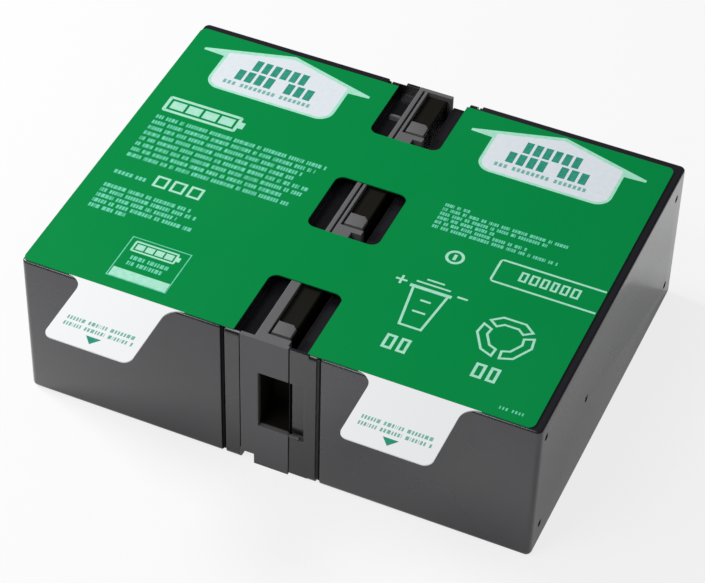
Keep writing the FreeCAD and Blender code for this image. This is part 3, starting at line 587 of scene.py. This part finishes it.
def film_material(name, dark, light, rough, speck):
    """Printed film over card: fine print mottle, slow waves in the card, handling marks."""
    material, tree, shader = new_material(name)
    shader.inputs["Specular IOR Level"].default_value = 0.10
    mottle = object_noise(tree, Scale=900.0, Detail=2.0)
    waves = object_noise(tree, Scale=9.0, Detail=2.0)
    fine = add_node(tree, "ShaderNodeMath", {0: mottle, 1: speck}, operation="MULTIPLY")
    share = add_node(tree, "ShaderNodeMath", {0: waves, 1: 1.0 - speck, 2: fine.outputs[0]},
                     operation="MULTIPLY_ADD", use_clamp=True)
    tree.links.new(mix_colours(tree, share.outputs[0], dark, light), shader.inputs["Base Color"])
    grain = use_group(tree, moulded_grain, Grain_Scale=900.0, Drift_Scale=20.0)
    polish = add_node(tree, "ShaderNodeMapRange", {"Value": grain.outputs["Drift"], "From Min": 0.3,
                                                   "From Max": 0.7, "To Min": rough[0], "To Max": rough[1]})
    rubbed = add_node(tree, "ShaderNodeMath", {0: grain.outputs["Rub"], 1: 0.08, 2: polish.outputs["Result"]},
                      operation="MULTIPLY_ADD", use_clamp=True)
    tree.links.new(rubbed.outputs[0], shader.inputs["Roughness"])
    swell = add_node(tree, "ShaderNodeBump", {"Height": waves, "Strength": 0.25, "Distance": 0.4 * MM})
    bump = add_node(tree, "ShaderNodeBump", {"Height": mottle, "Normal": swell.outputs["Normal"],
                                             "Strength": 0.12, "Distance": 0.02 * MM})
    tree.links.new(bump.outputs["Normal"], shader.inputs["Normal"])
    return material


green_film = film_material("green_film", dark=(0.0003, 0.262, 0.058), light=(0.0006, 0.300, 0.070),
                           rough=(0.36, 0.48), speck=0.35)
white_card = film_material("white_card", dark=(0.93, 0.94, 0.95), light=(0.97, 0.98, 0.985),
                           rough=(0.45, 0.58), speck=0.5)

bpy.ops.object.select_all(action="DESELECT")
# The label's mesh starts as a copy of the CAD sheet, with its loose triangles merged.
label_node = frame["nodes"]["top_label"]
label_node.select_set(True)
bpy.context.view_layer.objects.active = label_node
bpy.ops.object.duplicate()
label = bpy.context.object
label.name = "printed_label"
label.parent = None
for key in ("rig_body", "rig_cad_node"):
    if key in label:
        del label[key]
label.data.materials.clear()
bpy.ops.object.mode_set(mode="EDIT")
bpy.ops.mesh.select_all(action="SELECT")
bpy.ops.mesh.remove_doubles(threshold=0.002 * MM)
bpy.ops.mesh.dissolve_limited(angle_limit=math.radians(1.0))

# Its top is lowered to leave room for the ink, and its back edge, corners and all, is drawn
# in from the blocks' rounded rear edge. The green film ends where the tabs begin.
back_corner, back_setback, tab_reach = 2.6 * MM, 0.7 * MM, 31.1 * MM
label_low, label_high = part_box("top_label")
film_top = label_high.z - 0.04 * MM
pick(label, "VERT", lambda vert: vert.co.z > (label_low.z + label_high.z) / 2)
bpy.ops.transform.translate(value=(0, 0, film_top - label_high.z))
pick(label, "VERT", lambda vert: vert.co.y > label_high.y - back_corner)
bpy.ops.transform.translate(value=(0, -back_setback, 0))
green_front = label_low.y + tab_reach
bpy.ops.mesh.select_all(action="SELECT")
bpy.ops.mesh.bisect(plane_co=(0, green_front, 0), plane_no=(0, 1, 0))
label.data.materials.append(white_card)
label.data.materials.append(green_film)
pick(label, "FACE", lambda face: face.normal.z > -0.5 and face.calc_center_bounds().y > green_front)
label.active_material_index = 1
bpy.ops.object.material_slot_assign()
finish_piece(label, "label", [], "top_label")


# ---- Print on the label ------------------------------------------------------------------
# Screen-printed inks on the film: two arrows that point to the contact end, plain rows of
# blocks where text would stand, and a few generic signs. Each ink is a very thin layer.

def ink_material(name, thin, full):
    """Printed ink, a little thinner in places."""
    material, tree, shader = new_material(name)
    shader.inputs["Specular IOR Level"].default_value = 0.10
    cover = object_noise(tree, Scale=520.0, Detail=4.0, Roughness=0.6)
    share = add_node(tree, "ShaderNodeMapRange", {"Value": cover, "From Min": 0.3, "From Max": 0.6})
    tree.links.new(mix_colours(tree, share.outputs["Result"], thin, full), shader.inputs["Base Color"])
    polish = add_node(tree, "ShaderNodeMapRange", {"Value": cover, "To Min": 0.40, "To Max": 0.52})
    tree.links.new(polish.outputs["Result"], shader.inputs["Roughness"])
    bump = add_node(tree, "ShaderNodeBump", {"Height": cover, "Strength": 0.15, "Distance": 0.02 * MM})
    tree.links.new(bump.outputs["Normal"], shader.inputs["Normal"])
    return material


mint_ink = ink_material("mint_ink", (0.36, 0.80, 0.60), (0.48, 0.88, 0.70))
soft_mint_ink = ink_material("soft_mint_ink", (0.10, 0.60, 0.37), (0.19, 0.73, 0.51))
pale_ink = ink_material("pale_ink", (0.79, 0.85, 0.90), (0.84, 0.89, 0.94))
teal_ink = ink_material("teal_ink", (0.022, 0.28, 0.185), (0.046, 0.36, 0.25))
grey_ink = ink_material("grey_ink", (0.16, 0.46, 0.38), (0.24, 0.55, 0.47))

block_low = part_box("left_container")[0]
ink_z = film_top + 0.012 * MM


def on_label(x, y, layer=0):
    """A point on the film, in mm from the blocks' left front corner; inks lie in thin layers."""
    return Vector((block_low.x + x * MM, block_low.y + y * MM, ink_z + layer * 0.010 * MM))


def open_patch(name, corners, layer=0):
    """A flat patch of ink through corners in mm, anticlockwise, in edit mode, all selected."""
    patch = open_piece(name, bpy.ops.mesh.primitive_circle_add, vertices=len(corners),
                       radius=1 * MM, fill_type="NGON")
    mesh = bmesh.from_edit_mesh(patch.data)
    for vert, corner in zip(mesh.verts, corners):
        vert.co = on_label(*corner, layer)
    bmesh.update_edit_mesh(patch.data)
    return patch


def round_corners(patch, radius, wanted=lambda vert: True):
    """Rounds the patch's corners that wanted says yes to; the radius is in mm."""
    pick(patch, "VERT", wanted)
    bpy.ops.mesh.bevel(offset=radius * MM, segments=8, affect="VERTICES")


def keep_rim(width):
    """Leaves only a line of that width, in mm, along the edge of the patch in edit mode."""
    bpy.ops.mesh.select_mode(type="FACE")
    bpy.ops.mesh.select_all(action="SELECT")
    bpy.ops.mesh.inset(thickness=width * MM, depth=0)
    bpy.ops.mesh.delete(type="FACE")


def box_corners(left, right, front, back):
    """The corners of an upright box."""
    return (left, front), (right, front), (right, back), (left, back)


def line_corners(start, end, width):
    """The corners of a straight stroke between two points."""
    start, end = Vector(start), Vector(end)
    aside = (end - start).normalized().orthogonal() * width / 2
    return [tuple(corner) for corner in (start - aside, end - aside, end + aside, start + aside)]


def join_pieces(name, pieces):
    """One object made of one or several, out of edit mode."""
    bpy.ops.object.mode_set(mode="OBJECT")
    bpy.ops.object.select_all(action="DESELECT")
    for piece in pieces:
        piece.select_set(True)
    bpy.context.view_layer.objects.active = pieces[0]
    if len(pieces) > 1:
        bpy.ops.object.join()
    pieces[0].name = name
    pieces[0].data.name = name
    return pieces[0]


arrow_rim = ((15.7, 116.0), (68.7, 116.0), (68.7, 134.9), (77.2, 135.4), (77.2, 136.6), (41.9, 146.2),
             (41.1, 146.2), (6.8, 136.6), (6.8, 135.4), (15.7, 134.9))
arrow_face = (16.9, 117.2), (67.5, 117.2), (67.5, 137.6), (41.5, 144.5), (16.9, 137.6)
halves = ("left", 0), ("right", 113.0)
for side, shift in halves:
    for part, ink, layer, corners, foot_radius in (("rim", mint_ink, 0, arrow_rim, 6.0),
                                                   ("face", pale_ink, 1, arrow_face, 4.8)):
        arrow = open_patch(side + "_arrow_" + part, [(x + shift, y) for x, y in corners], layer)
        foot = on_label(*corners[0]).y
        round_corners(arrow, foot_radius, lambda vert: vert.co.y < foot + NEAR)
        finish_piece(arrow, "label", [ink])


def print_rows(name, ink, left, back, height, lines, gap, pitch=0, layer=0, stroke=None):
    """Rows of blocks, grouped like words, all in mm.

    A line lists its blocks' widths, and one below 0 is a space. With a stroke the blocks are
    open, drawn in a line of that width.
    """
    rows = []
    for index, widths in enumerate(lines):
        row = open_piece(name, bpy.ops.mesh.primitive_grid_add, x_subdivisions=len(widths),
                         y_subdivisions=1, size=1)
        line_back = back - index * pitch
        edges = [left]
        for width in widths:
            edges.append(edges[-1] + abs(width))
        mesh = bmesh.from_edit_mesh(row.data)
        for vert in mesh.verts:
            column = round((vert.co.x + 0.5) * len(widths))
            y = line_back + gap / 2 if vert.co.y > 0 else line_back - height - gap / 2
            vert.co = on_label(edges[column], y, layer)
        spaces = {on_label((edges[column] + edges[column + 1]) / 2, 0).x
                  for column, width in enumerate(widths) if width < 0}
        pick(row, "FACE", lambda face: any(abs(face.calc_center_median().x - space) < 0.01 * MM
                                           for space in spaces))
        bpy.ops.mesh.delete(type="FACE")
        bpy.ops.mesh.select_mode(type="FACE")
        bpy.ops.mesh.select_all(action="SELECT")
        bpy.ops.mesh.inset(thickness=gap / 2 * MM, depth=0, use_individual=True)
        bpy.ops.mesh.select_all(action="INVERT")
        bpy.ops.mesh.delete(type="FACE")
        if stroke:
            bpy.ops.mesh.select_all(action="SELECT")
            bpy.ops.mesh.inset(thickness=stroke * MM, depth=0, use_individual=True)
            bpy.ops.mesh.delete(type="FACE")
        rows.append(row)
    finish_piece(join_pieces(name, rows), "label", [ink])


def word_rows(seed, lengths, letter):
    """Block widths in word-long groups that fill each line's length in mm."""
    chance = random.Random(seed)
    lines = []
    for length in lengths:
        widths, word, used = [], chance.randint(2, 7), 0.0
        while used < length:
            if word == 0:
                widths.append(-0.95)
                used += 0.95
                word = chance.randint(2, 8)
            widths.append(letter * chance.choice((0.6, 0.9, 1.0, 1.0, 1.1, 1.5)))
            used += widths[-1]
            word -= 1
        lines.append(widths)
    return lines


for side, shift in halves:
    print_rows(side + "_arrow_first_row", teal_ink, left=28.6 + shift, back=138.0, height=6.5,
               lines=[[3.9] * 6], gap=1.1, layer=2)
    print_rows(side + "_arrow_second_row", teal_ink, left=24.4 + shift, back=130.4, height=6.3,
               lines=[[4.1] * 4 + [-4.4] + [4.1] * 3], gap=1.1, layer=2)
    print_rows(side + "_arrow_third_row", grey_ink, left=21.5 + shift, back=122.6, height=2.1,
               lines=[[1.9] * 3 + [-1.5] + [1.9] * 8 + [-1.5] + [1.9] * 7], gap=0.7, layer=2)

print_rows("left_paragraph", soft_mint_ink, left=8.0, back=92.6, height=2.05,
           lines=word_rows(3, (70, 68, 63, 62, 69, 68, 62, 66), 1.05), gap=0.30, pitch=3.43)
print_rows("left_small_paragraph", soft_mint_ink, left=8.0, back=49.9, height=1.95,
           lines=word_rows(5, (35, 38, 33, 39, 15), 1.15), gap=0.30, pitch=3.03)
print_rows("right_paragraph", soft_mint_ink, left=127.0, back=93.2, height=1.65,
           lines=word_rows(7, (9, 49, 42, 22, 36, 49), 0.95), gap=0.24, pitch=2.5)
print_rows("left_mark_row", soft_mint_ink, left=8.0, back=58.0, height=2.0,
           lines=word_rows(11, (13,), 1.5), gap=0.45)
print_rows("left_mark_blocks", mint_ink, left=23.6, back=61.6, height=6.2, lines=[[7.0] * 3], gap=1.5,
           stroke=1.0)
print_rows("rating_blocks", mint_ink, left=165.6, back=71.0, height=5.1,
           lines=[[4.0, 4.2, 3.9, 3.7, 4.0, 4.2]], gap=1.0, stroke=0.85)
for name, left in (("jar_blocks", 133.8), ("loop_blocks", 167.6)):
    print_rows(name, mint_ink, left=left, back=22.0, height=7.2, lines=[[5.6, 5.2]], gap=1.5, stroke=1.1)
print_rows("code_blocks", soft_mint_ink, left=183.0, back=6.0, height=1.4,
           lines=[[1.2, 1.2, 1.3, -1.0, 1.2, 1.3, 1.2, 1.2]], gap=0.6)


def print_battery(name, left, right, front, back, stroke):
    """A plain battery sign in mm: an outlined body, its stud, and four full bars inside."""
    height, bars = back - front, 4
    body_right = right - 0.22 * height
    body = open_patch(name, box_corners(left, body_right, front, back))
    round_corners(body, 0.12 * height)
    keep_rim(stroke)
    stud = open_patch(name, box_corners(body_right, right, front + 0.3 * height, back - 0.3 * height))
    pieces = [body, stud]
    first, last = left + 1.8 * stroke, body_right - 1.8 * stroke
    step = (last - first + 0.8 * stroke) / bars
    for bar in range(bars):
        start = first + bar * step
        pieces.append(open_patch(name, box_corners(start, start + step - 0.8 * stroke, front + 1.8 * stroke,
                                                   back - 1.8 * stroke)))
    finish_piece(join_pieces(name, pieces), "label", [mint_ink])


print_battery("left_battery_sign", left=8.0, right=41.0, front=95.5, back=104.6, stroke=1.3)
print_battery("badge_battery_sign", left=33.2, right=52.2, front=20.9, back=26.6, stroke=0.8)

# The badge: a thin box round a battery sign, two rows and a full bar.
badge = open_patch("badge_outline", box_corners(31.0, 55.0, 6.3, 28.2))
keep_rim(0.45)
finish_piece(badge, "label", [soft_mint_ink])
badge_bar = open_patch("badge_bar", box_corners(31.9, 54.7, 6.7, 11.3))
finish_piece(badge_bar, "label", [mint_ink])
print_rows("badge_rows", soft_mint_ink, left=35.0, back=19.0, height=2.0,
           lines=word_rows(13, (15, 13), 1.2), gap=0.4, pitch=3.1)

# The rating's frame runs off the film's right edge; a ring with a spot stands left of it.
rating = open_patch("rating_outline", ((197.3, 61.6), (197.3, 62.5), (157.5, 62.5), (157.5, 73.4),
                                       (197.3, 73.4), (197.3, 74.3), (156.6, 74.3), (156.6, 61.6)))
round_corners(rating, 1.8, lambda vert: vert.co.x < on_label(157, 0).x)
finish_piece(rating, "label", [mint_ink])

ring = open_piece("ring_sign", bpy.ops.mesh.primitive_circle_add, vertices=40, radius=3.6 * MM,
                  fill_type="NGON", location=on_label(141.2, 67.6))
keep_rim(1.1)
spot = open_patch("ring_spot", box_corners(140.6, 141.8, 66.1, 69.1))
finish_piece(join_pieces("ring_sign", [ring, spot]), "label", [mint_ink])

# A plain outlined cell with its lid, a plus and a minus; strokes that cross are on two layers.
strokes = []
for start, end, width, layer in (
        ((133.4, 48.0), (136.2, 27.6), 0.95, 0), ((146.8, 48.0), (144.4, 27.6), 0.95, 0),
        ((135.8, 28.0), (144.8, 28.0), 0.95, 1), ((132.0, 47.8), (148.0, 47.8), 1.5, 1),
        ((133.4, 50.6), (146.6, 50.6), 0.8, 0), ((136.6, 52.8), (143.4, 52.8), 0.8, 0),
        ((138.4, 42.0), (142.4, 42.0), 0.9, 0), ((137.8, 36.0), (142.8, 36.0), 0.9, 0),
        ((126.0, 49.0), (130.4, 49.0), 0.9, 0), ((128.2, 46.8), (128.2, 51.2), 0.9, 1),
        ((149.8, 49.0), (153.8, 49.0), 0.9, 0)):
    strokes.append(open_patch("cell_sign", line_corners(start, end, width), layer))
finish_piece(join_pieces("cell_sign", strokes), "label", [mint_ink])

# A loop of three bent strokes.
loop_middle = Vector((173.0, 37.0))
strokes = []
for turn in range(3):
    spin = [Vector((math.cos(angle), math.sin(angle))) for angle in
            (math.radians(90 + 120 * turn + step) for step in (-54, -24, 24, 54))]
    outer, inner = ([loop_middle + way * radius for way in spin] for radius in (10.8, 6.2))
    strokes.append(open_patch("loop_sign", [tuple(corner) for corner in outer + inner[::-1]]))
    keep_rim(0.9)
finish_piece(join_pieces("loop_sign", strokes), "label", [mint_ink])

# Each pull tab carries two rows and a small pointer towards its end.
for side, middle in (("left", 42.4), ("right", 155.6)):
    print_rows(side + "_tab_rows", grey_ink, left=middle - 13.5, back=-17.4, height=1.8,
               lines=word_rows(17, (26, 26), 1.15), gap=0.5, pitch=3.1)
    pointer = open_patch(side + "_tab_pointer", ((middle, -27.5), (middle + 3, -24.0), (middle - 3, -24.0)))
    finish_piece(pointer, "label", [teal_ink])
